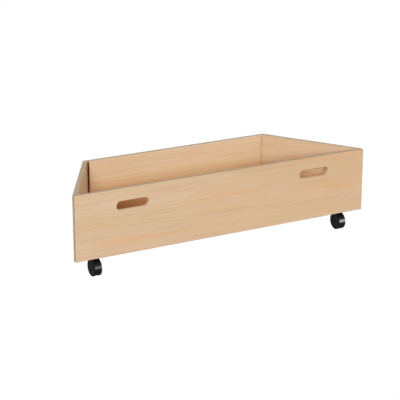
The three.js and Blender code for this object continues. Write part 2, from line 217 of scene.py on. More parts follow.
def wood(name, direction, seed, tone=(1.0, 1.0, 1.0), edge_tone_and_shade=(0.64, 0.68, 0.71), corner_shade=None, ends_from=0.0, low=None, fade=None, figure=1.0, painted_floor_shadow=None, inward=(0.0, 0.0, 1.0)):
    """Oiled beech: `direction` is the board's length in plan, so the grain runs along it
    and the faces cut across it show end grain. `corner_shade` paints shade into the inner corner
    beside the back panel, where little light reaches: "end" for that panel's own left end, or a side board's inward
    normal.
    End grain shows beyond `ends_from` from the middle, `low` is painted shade that darkens and
    warms the colour toward the floor of the box, `fade` is the tone at each end of the board,
    `figure` is the strength of its orange streaks, and `painted_floor_shadow` is a painted shadow that darkens it
    just above the floor, most at the left. `low` and `painted_floor_shadow` only touch the face that looks along
    `inward`, into the box."""
    m, t = new_material(name)
    coord = t.node("ShaderNodeTexCoord").outputs["Object"]
    geo = t.node("ShaderNodeNewGeometry")
    u = Vector((direction[0], direction[1], 0.0)).normalized()
    v = Vector((-u.y, u.x, 0.0))
    along = t.math("ADD", t.vmath("DOT_PRODUCT", coord, tuple(u)), seed * 3.17)
    across = t.math("ADD", t.vmath("DOT_PRODUCT", coord, tuple(v)), seed * 1.31)
    z = t.math("ADD", t.split(coord)[2], seed * 0.73)

    # the figure runs almost straight along the board and wanders a few millimetres
    drift = t.noise(t.combine(t.math("MULTIPLY", along, 1.3), t.math("MULTIPLY", across, 3.0), t.math("MULTIPLY", z, 4.0)), 1.0, 1.5, 0.45)
    zw = t.math("ADD", z, t.math("MULTIPLY", t.math("SUBTRACT", drift, 0.5), 0.020))
    drift2 = t.noise(t.combine(t.math("MULTIPLY", along, 5.0), t.math("MULTIPLY", across, 5.0), t.math("MULTIPLY", z, 14.0)), 1.0, 2.0, 0.5)
    zw = t.math("ADD", zw, t.math("MULTIPLY", t.math("SUBTRACT", drift2, 0.5), 0.004))

    def streak(k_along, k_across, k_up, shift, detail=2.0, rough=0.5):
        vec = t.combine(
            t.math("MULTIPLY_ADD", along, k_along, shift),
            t.math("MULTIPLY_ADD", across, k_across, shift * 0.7),
            t.math("MULTIPLY_ADD", zw, k_up, shift * 1.9),
        )
        return t.noise(vec, 1.0, detail, rough)

    broad = streak(1.4, 9.0, 12.0, 1.0)
    mid = streak(3.2, 30.0, 48.0, 7.0, 3.0, 0.55)
    warm = streak(3.0, 24.0, 40.0, 13.0, 3.0)
    cool = streak(2.6, 28.0, 36.0, 31.0, 3.0)
    thin = streak(4.5, 90.0, 120.0, 37.0, 2.0)
    fine = streak(5.0, 320.0, 330.0, 19.0, 3.0, 0.6)
    hair = streak(18.0, 1500.0, 1400.0, 23.0, 2.0, 0.6)

    col = t.mix(t.smooth(broad, 0.33, 0.67), YELLOW, PINK)
    col = t.mix(0.35, WOOD, col)
    col = t.mix(t.smooth(cool, 0.50, 0.72, 0.0, 0.75), col, PINK)
    col = t.mix(t.smooth(warm, 0.53, 0.68, 0.0, 0.75 * figure), col, ORANGE)
    col = t.mix(t.smooth(mid, 0.50, 0.68, 0.0, 0.72), col, PALE)
    col = t.mix(t.smooth(thin, 0.56, 0.72, 0.0, 0.30), col, BROWN)

    # growth rings: contour lines of a slow field, drawn out along the board
    field = t.noise(t.combine(t.math("MULTIPLY", along, 0.35), t.math("MULTIPLY", across, 9.0), t.math("MULTIPLY", zw, 9.0)), 1.0, 1.0, 0.4)
    ring = t.math("FRACT", t.math("MULTIPLY", field, 21.0))
    ring_line = t.math("MULTIPLY", t.smooth(ring, 0.45, 0.95), t.smooth(ring, 1.0, 0.965))
    col = t.mix(t.math("MULTIPLY", ring_line, 0.09), col, lin(186, 142, 100))
    shade = t.linear(fine, 0.3, 0.7, 0.975, 1.025)
    shade = t.math("MULTIPLY", shade, t.linear(hair, 0.3, 0.7, 0.985, 1.012))
    # short darker flecks of the rays, a millimetre or two long
    fleck = t.noise(t.combine(t.math("MULTIPLY", along, 420.0), t.math("MULTIPLY", across, 2100.0), t.math("MULTIPLY", z, 2100.0)), 1.0, 1.0, 0.4)
    shade = t.math("MULTIPLY", shade, t.smooth(fleck, 0.66, 0.74, 1.0, 0.90))

    # end grain where the face looks along the board
    normal = geo.outputs["Normal"]
    facing = t.math("ABSOLUTE", t.vmath("DOT_PRODUCT", normal, tuple(u)))
    end = t.smooth(facing, 0.62, 0.80)
    if ends_from:
        end = t.math("MULTIPLY", end, t.math("GREATER_THAN", t.math("ABSOLUTE", t.split(coord)[0]), ends_from))
    pores = t.noise(t.combine(t.math("MULTIPLY", across, 1500.0), t.math("MULTIPLY", z, 1500.0), t.math("MULTIPLY", along, 40.0)), 1.0, 2.0, 0.6)
    arcs = t.math("FRACT", t.math("MULTIPLY", t.noise(t.combine(t.math("MULTIPLY", across, 26.0), t.math("MULTIPLY", z, 18.0), 0.0), 1.0, 1.0, 0.4), 26.0))
    end_col = t.mix(t.smooth(arcs, 0.4, 0.95, 0.0, 0.5), lin(196, 166, 134), lin(170, 136, 102))
    end_col = t.mix(t.smooth(pores, 0.5, 0.75, 0.0, 0.35), end_col, lin(140, 106, 74))
    col = t.mix(end, col, end_col)

    # the long edges that face up and down are darker than the faces: partly the duller colour of the machined wood,
    # partly painted shade for the little light that falls on them
    up = t.math("ABSOLUTE", t.split(normal)[2])
    edge_shade_mask = t.smooth(up, 0.60, 0.95)
    rim = t.math("GREATER_THAN", t.math("ABSOLUTE", t.math("SUBTRACT", t.split(coord)[2], (Z_TOP + Z_LOW) / 2)), (Z_TOP - Z_LOW) / 2 - 4 * MM)
    edge_shade_mask = t.math("MULTIPLY", edge_shade_mask, rim)
    col = t.mix(edge_shade_mask, col, t.mix(1.0, col, edge_tone_and_shade, "MULTIPLY"))
    shade_rgb = t.combine(shade, shade, shade)
    col = t.mix(1.0, col, shade_rgb, "MULTIPLY")
    col = t.mix(1.0, col, tone, "MULTIPLY")
    inside_face = t.smooth(t.vmath("DOT_PRODUCT", normal, inward), 0.4, 0.8)
    # painted shade: inward faces darken and warm toward the floor of the box
    if low is not None:
        low_shade_mask = t.math("MULTIPLY", inside_face, t.smooth(t.split(coord)[2], 0.205, 0.120))
        col = t.mix(low_shade_mask, col, t.mix(1.0, col, low, "MULTIPLY"))
    # painted shadow: the inward face darkens just above the floor of the box, most at the left
    if painted_floor_shadow is not None:
        floor_shadow_mask = t.math("MULTIPLY", t.smooth(t.split(coord)[2], 0.150, 0.085), t.linear(t.split(coord)[0], -0.22, 0.15, 1.0, 0.35))
        floor_shadow_mask = t.math("MULTIPLY", inside_face, floor_shadow_mask)
        col = t.mix(floor_shadow_mask, col, t.mix(1.0, col, painted_floor_shadow, "MULTIPLY"))
    if fade is not None:
        grade = t.linear(t.vmath("DOT_PRODUCT", coord, tuple(u)), -0.45, 0.45)
        col = t.mix(1.0, col, t.mix(grade, fade[0], fade[1]), "MULTIPLY")

    # painted shade: the crevice at the back panel's left corner is coloured shadow brown, where little light gets in
    if corner_shade is not None:
        if corner_shade == "end":
            crevice_shade_mask = t.math("MULTIPLY", end, t.math("LESS_THAN", t.split(coord)[0], 0.0))
        else:
            inside = t.smooth(t.vmath("DOT_PRODUCT", normal, (corner_shade[0], corner_shade[1], 0.0)), 0.5, 0.8)
            crevice_shade_mask = t.math("MULTIPLY", inside, t.smooth(t.split(coord)[1], Y_JOINT - 1.0 * MM, Y_JOINT))
        below = t.smooth(t.split(coord)[2], Z_TOP - 9 * MM, Z_TOP - 4 * MM, 1.0, 0.0)
        crevice_shade_mask = t.math("MULTIPLY", crevice_shade_mask, below)
        col = t.mix(crevice_shade_mask, col, lin(150, 82, 20))
    rough = t.linear(mid, 0.3, 0.7, 0.50, 0.62)
    rough = t.math("ADD", rough, t.math("MULTIPLY", end, 0.12))
    height = t.math("ADD", t.math("MULTIPLY", fine, 0.6), t.math("ADD", t.math("MULTIPLY", hair, 0.5), t.math("MULTIPLY", ring_line, -0.4)))
    spec, coat = 0.32, 0.10
    # the painted corner shade takes the gloss away too
    if corner_shade is not None:
        spec = t.math("MULTIPLY_ADD", crevice_shade_mask, -spec, spec)
        coat = t.math("MULTIPLY_ADD", crevice_shade_mask, -coat, coat)
    principled(t, col, rough, spec=spec, bump=height, bump_strength=0.35, bump_distance=0.00012, coat=coat, coat_rough=0.35)
    return m


# ------------------------------------------------------------------ plastic and metal
def plastic(name, base, rough_lo, rough_hi, seed, wear=0.0, dull=None):
    """Moulded plastic. `dull` is the colour of the matt faces that look along the axle."""
    m, t = new_material(name)
    place = t.node("ShaderNodeTexCoord")
    coord = place.outputs["Object"]
    vec = t.vmath("ADD", coord, (seed, seed * 0.37, seed * 1.9))
    grain = t.noise(vec, 2600.0, 3.0, 0.6)
    cloud = t.noise(vec, 70.0, 3.0, 0.55)
    scuff = t.noise(t.vmath("MULTIPLY", vec, (900.0, 140.0, 140.0)), 1.0, 2.0, 0.6)
    col = t.mix(t.smooth(cloud, 0.35, 0.7), tuple(c * 0.85 for c in base), tuple(c * 1.2 for c in base))
    col = t.mix(t.smooth(scuff, 0.60, 0.80, 0.0, wear), col, (0.16, 0.155, 0.15))
    rough = t.linear(cloud, 0.3, 0.7, rough_lo, rough_hi)
    rough = t.math("ADD", rough, t.smooth(scuff, 0.60, 0.8, 0.0, 0.06))
    spec = 0.28
    if dull is not None:
        side = t.smooth(t.math("ABSOLUTE", t.split(place.outputs["Normal"])[0]), 0.55, 0.95)
        tint = t.mix(t.smooth(cloud, 0.35, 0.7), tuple(c * 0.90 for c in dull), tuple(c * 1.10 for c in dull))
        col = t.mix(side, col, tint)
        rough = t.math("ADD", rough, t.math("MULTIPLY", side, 0.30))
        spec = t.math("MULTIPLY_ADD", side, -0.27, 0.28)
    principled(t, col, rough, spec=spec, bump=grain, bump_strength=0.10, bump_distance=0.00002)
    return m


def metal(name, base, rough_lo, rough_hi, seed, metallic=1.0, grain=(1400.0, 1400.0, 60.0)):
    m, t = new_material(name)
    coord = t.node("ShaderNodeTexCoord").outputs["Object"]
    vec = t.vmath("ADD", coord, (seed, seed * 0.61, seed * 1.3))
    brush = t.noise(t.vmath("MULTIPLY", vec, grain), 1.0, 2.0, 0.6)
    spots = t.noise(vec, 420.0, 3.0, 0.6)
    col = t.mix(t.smooth(spots, 0.4, 0.7), tuple(c * 0.86 for c in base), tuple(min(1.0, c * 1.08) for c in base))
    rough = t.math("ADD", t.linear(brush, 0.3, 0.7, rough_lo, rough_hi), t.smooth(spots, 0.5, 0.8, 0.0, 0.08))
    principled(t, col, rough, metallic=metallic, spec=0.5, bump=t.math("ADD", t.math("MULTIPLY", brush, 0.6), t.math("MULTIPLY", spots, 0.4)), bump_strength=0.2, bump_distance=0.00004)
    return m


# ------------------------------------------------------------------ mesh helpers
def link(name, mesh):
    ob = bpy.data.objects.new(name, mesh)
    bpy.context.scene.collection.objects.link(ob)
    return ob


def clean(bm):
    bmesh.ops.remove_doubles(bm, verts=bm.verts, dist=1e-7)
    bmesh.ops.recalc_face_normals(bm, faces=bm.faces)


def mesh_of(name, bm):
    clean(bm)
    me = bpy.data.meshes.new(name)
    bm.to_mesh(me)
    bm.free()
    return me


def bake_modifiers(ob):
    """Apply the object's modifiers to its own mesh."""
    dg = bpy.context.evaluated_depsgraph_get()
    dg.update()
    me = bpy.data.meshes.new_from_object(ob.evaluated_get(dg), preserve_all_data_layers=True, depsgraph=dg)
    old = ob.data
    name = old.name
    ob.modifiers.clear()
    ob.data = me
    bpy.data.meshes.remove(old)
    me.name = name
    return ob


def shade(ob, weighted=True, angle=35.0):
    """Smooth shading that keeps flat faces flat."""
    me = ob.data
    me.shade_smooth()
    bm = bmesh.new()
    bm.from_mesh(me)
    for e in bm.edges:
        if len(e.link_faces) == 2:
            e.smooth = e.calc_face_angle(0.0) < math.radians(angle)
        else:
            e.smooth = False
    bm.to_mesh(me)
    bm.free()
    if weighted:
        wn = ob.modifiers.new("weighted", "WEIGHTED_NORMAL")
        wn.mode = "FACE_AREA"
        wn.weight = 100
        wn.keep_sharp = True
        bake_modifiers(ob)
    return ob


def cut(ob, cutters):
    for i, c in enumerate(cutters):
        mod = ob.modifiers.new(f"cut{i}", "BOOLEAN")
        mod.operation = "DIFFERENCE"
        mod.solver = "EXACT"
        mod.object = c
    bake_modifiers(ob)
    for c in cutters:
        me = c.data
        bpy.data.objects.remove(c)
        bpy.data.meshes.remove(me)
    bm = bmesh.new()
    bm.from_mesh(ob.data)
    bmesh.ops.remove_doubles(bm, verts=bm.verts, dist=2e-6)
    bmesh.ops.dissolve_degenerate(bm, edges=bm.edges, dist=1e-7)
    bmesh.ops.recalc_face_normals(bm, faces=bm.faces)
    bm.to_mesh(ob.data)
    bm.free()
    return ob


def lathe(bm, profile, base, axis, segments, matrix=None):
    """A closed solid of revolution. `profile` is [(radius, distance)], from axis to axis."""
    axis = Vector(axis).normalized()
    ref = Vector((0, 0, 1)) if abs(axis.z) < 0.9 else Vector((1, 0, 0))
    e1 = axis.cross(ref).normalized()
    e2 = axis.cross(e1).normalized()
    base = Vector(base)
    rings = []
    for r, h in profile:
        c = base + axis * h
        if r < 1e-9:
            rings.append([bm.verts.new(c)])
        else:
            rings.append([bm.verts.new(c + (e1 * math.cos(a) + e2 * math.sin(a)) * r) for a in (2 * math.pi * k / segments for k in range(segments))])
    for a, b in zip(rings, rings[1:]):
        for k in range(segments):
            j = (k + 1) % segments
            if len(a) == 1 and len(b) == 1:
                continue
            if len(a) == 1:
                bm.faces.new((a[0], b[k], b[j]))
            elif len(b) == 1:
                bm.faces.new((a[k], b[0], a[j]))
            else:
                bm.faces.new((a[k], b[k], b[j], a[j]))
    return rings


def arc(cx, cy, r, a0, a1, n):
    return [(cx + r * math.cos(math.radians(a0 + (a1 - a0) * i / n)), cy + r * math.sin(math.radians(a0 + (a1 - a0) * i / n))) for i in range(n + 1)]


def solid_of_revolution(name, profile, base, axis, segments):
    bm = bmesh.new()
    lathe(bm, profile, base, axis, segments)
    return link(name, mesh_of(name, bm))


# ------------------------------------------------------------------ boards
front_lo, front_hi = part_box("front_panel")
back_lo, back_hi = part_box("back_panel")
bottom_lo, bottom_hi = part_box("bottom_panel")
side_lo, side_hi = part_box("right_side_panel")
Z0, Z1 = front_lo.z, front_hi.z
T = front_hi.y - front_lo.y
X_END = front_hi.x
Y_IN = front_hi.y


def section(thick, z0, z1, r, n=5):
    """Board section as (offset across, z), with rounded corners, anticlockwise."""
    h = thick / 2
    pts = []
    pts += arc(h - r, z1 - r, r, 0, 90, n)
    pts += arc(-h + r, z1 - r, r, 90, 180, n)
    pts += arc(-h + r, z0 + r, r, 180, 270, n)
    pts += arc(h - r, z0 + r, r, 270, 360, n)
    return pts


def trimmed_board(name, mid, direction, plane_a, plane_b, soften=0.0005):
    """Board through `mid` (x, y on its mid plane), cut off by two planes (point, normal) in plan."""
    u = Vector((direction[0], direction[1], 0)).normalized()
    n = Vector((-u.y, u.x, 0))
    bm = bmesh.new()
    rings = []
    for point, normal in (plane_a, plane_b):
        ring = []
        for off, z in section(T, Z0, Z1, ARRIS):
            p = Vector((mid[0], mid[1], 0)) + n * off
            s = (Vector((*point, 0)) - p).dot(Vector((*normal, 0))) / u.dot(Vector((*normal, 0)))
            q = p + u * s
            ring.append(bm.verts.new((q.x, q.y, z)))
        rings.append(ring)
    a, b = rings
    m = len(a)
    for k in range(m):
        j = (k + 1) % m
        bm.faces.new((a[k], a[j], b[j], b[k]))
    cap_a = bm.faces.new(tuple(reversed(a)))
    cap_b = bm.faces.new(tuple(b))
    clean(bm)
    if soften:
        edges = [e for e in bm.edges if any(f in (cap_a, cap_b) for f in e.link_faces)]
        bmesh.ops.bevel(bm, geom=edges, offset=soften, offset_type="OFFSET", segments=2, profile=0.5, affect="EDGES", clamp_overlap=True)
    return link(name, mesh_of(name, bm))


def countersink_cutters(screws):
    """Cutters for countersunk holes: from the outer face in, along each screw."""
    out = []
    for k, (p, d) in enumerate(screws):
        prof = [(0.0, -2 * MM), (4.5 * MM, -2 * MM), (4.5 * MM, 0.5 * MM), (2.3 * MM, 3.1 * MM), (2.3 * MM, 42 * MM), (0.0, 42 * MM)]
        out.append(solid_of_revolution(f"cutter{k}", prof, p, d, 40))
    return out


# wall screws: the point on the outer face each one enters at, and its direction
def wall_screw(node):
    if node.startswith("back"):
        d = Vector((0, -1, 0))
    else:
        s = -1 if node.startswith("left") else 1
        d = Vector((-s * math.sin(ANGLE), -math.cos(ANGLE), 0))
    pts = [v.co for v in frame["nodes"][node].data.vertices]
    lo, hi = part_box(node)
    c = (lo + hi) / 2 if node.startswith("back") else sum(pts, Vector()) / len(pts)
    start = min(p.dot(d) for p in pts)
    return c + d * (start - c.dot(d) - 0.2 * MM), d


wall_nodes = [n for n in frame["nodes"] if n.endswith(("side_screw_1", "side_screw_2")) or n.startswith("back_screw")]
wall_nodes.sort()
wall_screws = {n: wall_screw(n) for n in wall_nodes}

wood_front = wood("beech_front", (1, 0), 1.0, ends_from=X_END - 6 * MM, fade=((1.075, 1.13, 1.18), (1.045, 1.055, 1.03)), figure=0.75)
# painted light on the inner boards: `low` is painted shade low down inside the box, `painted_floor_shadow` a painted
# shadow just above the floor, `corner_shade` painted shade in the corner beside the back panel
wood_back = wood("beech_back", (1, 0), 4.3, tone=(0.985, 1.085, 1.15), corner_shade="end", low=PAINTED_LOW_SHADE, figure=0.35, painted_floor_shadow=(0.70, 0.55, 0.40), inward=(0.0, -1.0, 0.0))
wood_left = wood("beech_left", (math.cos(ANGLE), math.sin(ANGLE)), 7.7, tone=(1.06, 1.13, 1.09), corner_shade=(math.sin(ANGLE), -math.cos(ANGLE)), low=(1.10, 0.95, 0.80), inward=(math.sin(ANGLE), -math.cos(ANGLE), 0.0))
wood_right = wood("beech_right", (-math.cos(ANGLE), math.sin(ANGLE)), 10.9, tone=(0.985, 1.07, 1.145), low=(1.10, 0.97, 0.78), figure=0.5, inward=(-math.sin(ANGLE), -math.cos(ANGLE), 0.0))
# the bottom board's darker tone is painted shade for the floor inside the box, and `low` adds more painted shade on its
# top
wood_bottom = wood("beech_bottom", (1, 0), 14.2, tone=(0.88, 0.85, 0.80), low=PAINTED_LOW_SHADE)


def stadium(cx, cz, half, r, n=20):
    """Handle slot outline, anticlockwise."""
    return arc(cx + half, cz, r, -90, 90, n) + arc(cx - half, cz, r, 90, 270, n)


def front_panel():
    """Flat front with two handle slots, every arris rounded."""
    # slot sizes from the CAD mesh: points on its inner wall at mid thickness
    me = frame["nodes"]["front_panel"].data
    ym = (front_lo.y + front_hi.y) / 2
    pts = [v.co for v in me.vertices if front_lo.x + 0.02 < v.co.x < front_hi.x - 0.02 and Z0 + 0.08 < v.co.z < Z1 - 0.01 and front_lo.y + 1.9 * MM < v.co.y < front_hi.y - 1.9 * MM]
    slots = []
    for s in (-1, 1):
        mine = [p for p in pts if p.x * s > 0.15]
        x0, x1 = min(p.x for p in mine), max(p.x for p in mine)
        z0, z1 = min(p.z for p in mine), max(p.z for p in mine)
        r = (z1 - z0) / 2
        slots.append(((x0 + x1) / 2, (z0 + z1) / 2, (x1 - x0) / 2 - r, r))
    n = 6
    layers = []  # (y, inset)
    for i in range(n + 1):
        a = math.radians(90.0 * i / n)
        layers.append((front_lo.y + ARRIS * (1 - math.sin(a)), ARRIS * (1 - math.cos(a))))
    layers = layers[::-1]                       # full-size ring last
    layers = [(front_lo.y + ARRIS - ARRIS * math.cos(math.radians(90.0 * i / n)), ARRIS - ARRIS * math.sin(math.radians(90.0 * i / n))) for i in range(n + 1)]
    layers += [(front_hi.y - ARRIS + ARRIS * math.sin(math.radians(90.0 * i / n)), ARRIS - ARRIS * math.cos(math.radians(90.0 * i / n))) for i in range(n + 1)]
    bm = bmesh.new()

    def outer_ring(y, inset):
        # the board's four corners are rounded a little in the face as well
        r = 1.6 * MM
        x, z0, z1 = X_END - inset, Z0 + inset, Z1 - inset
        pts = arc(x - r, z1 - r, r, 0, 90, 4) + arc(-x + r, z1 - r, r, 90, 180, 4) + arc(-x + r, z0 + r, r, 180, 270, 4) + arc(x - r, z0 + r, r, 270, 360, 4)
        return [bm.verts.new((px, y, pz)) for px, pz in pts]

    def slot_ring(y, inset, s):
        cx, cz, half, r = s
        return [bm.verts.new((px, y, pz)) for px, pz in stadium(cx, cz, half, r + inset)]

    stacks = [[outer_ring(y, i) for y, i in layers]] + [[slot_ring(y, i, s) for y, i in layers] for s in slots]
    for si, stack in enumerate(stacks):
        for a, b in zip(stack, stack[1:]):
            m = len(a)
            for k in range(m):
                j = (k + 1) % m
                bm.faces.new((a[k], a[j], b[j], b[k]) if si == 0 else (a[j], a[k], b[k], b[j]))
    for layer, flip in ((0, True), (-1, False)):
        loops = [stack[layer] for stack in stacks]
        flat = [v for loop in loops for v in loop]
        tris = tessellate_polygon([[Vector((v.co.x, v.co.z, 0)) for v in loop] for loop in loops])
        for a, b, c in tris:
            try:
                bm.faces.new((flat[a], flat[b], flat[c]))
            except ValueError:
                pass
    bmesh.ops.remove_doubles(bm, verts=bm.verts, dist=1e-7)
    bmesh.ops.dissolve_degenerate(bm, edges=bm.edges, dist=1e-7)
    ob = link("front_panel_board", mesh_of("front_panel_board", bm))
    ob.data.materials.append(wood_front)
    shade(ob)
    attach(ob, "box")
    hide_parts("front_panel")
    return ob


front_board = front_panel()

side_boards = {}
for s, side, mat in ((-1, "left", wood_left), (1, "right", wood_right)):
    d = (-s * math.cos(ANGLE), math.sin(ANGLE))
    inward = (-s * math.sin(ANGLE), -math.cos(ANGLE))
    lo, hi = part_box(f"{side}_side_panel")
    # the outer face meets the front panel's back face at its very end
    mid = (s * X_END + inward[0] * T / 2, Y_IN + inward[1] * T / 2)
    ob = trimmed_board(f"{side}_side_board", mid, d, ((0, lo.y), (0, 1)), ((0, hi.y), (0, 1)))
    cutters = countersink_cutters([v for k, v in sorted(wall_screws.items()) if k.startswith(side)])
    cut(ob, cutters)
    ob.data.materials.append(mat)
    shade(ob)
    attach(ob, "box")
    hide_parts(f"{side}_side_panel")
    side_boards[side] = ob

back_board = trimmed_board("back_board", (0.0, (back_lo.y + back_hi.y) / 2), (1, 0), ((back_lo.x - 0.3 * MM, 0), (1, 0)), ((back_hi.x + 0.3 * MM, 0), (1, 0)), soften=0.0002)
cut(back_board, countersink_cutters([v for k, v in sorted(wall_screws.items()) if k.startswith("back")]))
back_board.data.materials.append(wood_back)
shade(back_board)
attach(back_board, "box")
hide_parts("back_panel")


def bottom_panel():
    """Trapezoid floor of the box, its arrises just broken."""
    y0, y1 = bottom_lo.y, bottom_hi.y
    x0 = bottom_hi.x
    x1 = x0 - (y1 - y0) / math.tan(ANGLE)
    bm = bmesh.new()
    corners = [(-x0, y0), (x0, y0), (x1, y1), (-x1, y1)]
    lower = [bm.verts.new((x, y, bottom_lo.z)) for x, y in corners]
    upper = [bm.verts.new((x, y, bottom_hi.z)) for x, y in corners]
    bm.faces.new(upper)
    bm.faces.new(tuple(reversed(lower)))
    for k in range(4):
        j = (k + 1) % 4
        bm.faces.new((lower[k], lower[j], upper[j], upper[k]))
    clean(bm)
    bmesh.ops.bevel(bm, geom=list(bm.edges), offset=0.6 * MM, offset_type="OFFSET", segments=3, profile=0.5, affect="EDGES", clamp_overlap=True)
    ob = link("bottom_board", mesh_of("bottom_board", bm))
    ob.data.materials.append(wood_bottom)
    shade(ob)
    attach(ob, "box")
    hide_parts("bottom_panel")
    return ob


bottom_board = bottom_panel()

# ------------------------------------------------------------------ dowels: the CAD solids, with wood on them
dowel_wood = wood("dowel_birch", (1, 0), 21.5, tone=(0.96, 0.95, 0.90))
dowel_wood_y = wood("dowel_birch_y", (0, 1), 23.5, tone=(0.96, 0.95, 0.90))
for name, ob in frame["nodes"].items():
    if "dowel" in name:
        mat = dowel_wood if name.startswith("back") else dowel_wood_y
        ob.data.materials.clear()
        ob.data.materials.append(mat)

# ------------------------------------------------------------------ screws
zinc = metal("zinc_screw", (0.62, 0.63, 0.64), 0.24, 0.38, 2.0)
axle_steel = metal("axle_steel", (0.58, 0.585, 0.60), 0.20, 0.32, 5.0, grain=(60.0, 1400.0, 1400.0))
black_plate = metal("plate_steel", (0.045, 0.046, 0.048), 0.36, 0.5, 8.0, metallic=0.4, grain=(700.0, 700.0, 700.0))
housing_black = plastic("housing_black", (0.0050, 0.0048, 0.0047), 0.24, 0.30, 1.0, wear=0.05)
wheel_black = plastic("wheel_black", (0.0055, 0.0053, 0.0051), 0.24, 0.30, 3.0, wear=0.05, dull=(0.027, 0.0250, 0.0238))


def cross_cutter(base, axis, reach, depth, width):
    """A tapered cross that cuts a screw's drive recess."""
    axis = Vector(axis).normalized()
    ref = Vector((0, 0, 1)) if abs(axis.z) < 0.9 else Vector((1, 0, 0))
    e1 = axis.cross(ref).normalized()
    e2 = axis.cross(e1).normalized()
    base = Vector(base)
    bm = bmesh.new()
    w = width / 2
    top = [(reach, -w), (reach, w), (w, w), (w, reach), (-w, reach), (-w, w), (-reach, w), (-reach, -w), (-w, -w), (-w, -reach), (w, -reach), (w, -w)]
    rings = []
    for h, k in ((-0.6 * MM, 1.06), (0.0, 1.0), (depth, 0.30)):
        rings.append([bm.verts.new(base + axis * h + (e1 * x * (k if abs(x) > w * 1.01 else 1) + e2 * y * (k if abs(y) > w * 1.01 else 1))) for x, y in top])
    for a, b in zip(rings, rings[1:]):
        m = len(a)
        for k in range(m):
            j = (k + 1) % m
            bm.faces.new((a[k], a[j], b[j], b[k]))
    bm.faces.new(tuple(reversed(rings[0])))
    bm.faces.new(tuple(rings[-1]))
    return link("cross", mesh_of("cross", bm))


def countersunk_screw(name, node, head, d):
    r, k = 3.95 * MM, 1.95 * MM
    prof = [(0.0, 0.24 * MM), (r - 0.25 * MM, 0.24 * MM), (r - 0.08 * MM, 0.32 * MM), (r, 0.46 * MM), (r - 0.05 * MM, 0.60 * MM), (k + 0.15 * MM, 2.6 * MM), (k, 2.95 * MM)]
    z = 6.0
    while z < 34.0:  # thread as a run of shallow crests
        prof += [(k * 0.80, z * MM), (k, (z + 0.75) * MM), (k * 0.80, (z + 1.5) * MM)]
        z += 1.8
    prof += [(k * 0.75, 35.5 * MM), (0.0, 39.9 * MM)]
    ob = solid_of_revolution(name, prof, head, d, 32)
    cut(ob, [cross_cutter(head + d * 0.24 * MM, d, 2.3 * MM, 1.9 * MM, 0.85 * MM)])
    ob.data.materials.append(zinc)
    shade(ob, angle=40)
    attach(ob, "box")
    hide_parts(node)
    return ob


for node, (head, d) in sorted(wall_screws.items()):
    countersunk_screw(f"{node}_detail", node, head, d)


def pan_screw(name, node):
    lo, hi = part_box(node)
    cx, cy = (lo.x + hi.x) / 2, (lo.y + hi.y) / 2
    up = Vector((0, 0, 1))
    r, k = 3.55 * MM, 1.55 * MM
    z0 = lo.z
    head_top = 1.8 * MM
    prof = [(0.0, 0.0), (1.6 * MM, 0.03 * MM), (2.5 * MM, 0.16 * MM), (3.1 * MM, 0.46 * MM), (3.45 * MM, 0.95 * MM), (r, 1.4 * MM), (r - 0.05 * MM, head_top - 0.05 * MM), (r - 0.2 * MM, head_top), (k, head_top)]
    z, end = 3.0, (hi.z - z0) / MM - 3.2
    while z < end:
        prof += [(k * 0.78, z * MM), (k, (z + 0.6) * MM), (k * 0.78, (z + 1.2) * MM)]
        z += 1.45
    prof += [(k * 0.7, (end + 0.6) * MM), (0.0, hi.z - z0)]
    ob = solid_of_revolution(name, prof, (cx, cy, z0), up, 28)
    cut(ob, [cross_cutter((cx, cy, z0), up, 1.9 * MM, 1.5 * MM, 0.75 * MM)])
    ob.data.materials.append(zinc)
    shade(ob, angle=40)
    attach(ob, "box")
    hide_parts(node)


for c in CASTORS:
    for i in range(1, 5):
        pan_screw(f"{c}_castor_screw_{i}_detail", f"{c}_castor_screw_{i}")


# ------------------------------------------------------------------ castors
def castor_place(c):
    """Swivel axis (x, y) and axle (y, z) of a castor, from its CAD nodes."""
    lo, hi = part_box(f"{c}_castor_plate")
    sx, sy = (lo.x + hi.x) / 2, (lo.y + hi.y) / 2
    lo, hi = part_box(f"{c}_castor_axle")
    ay, az = (lo.y + hi.y) / 2, (lo.z + hi.z) / 2
    return sx, sy, ay, az


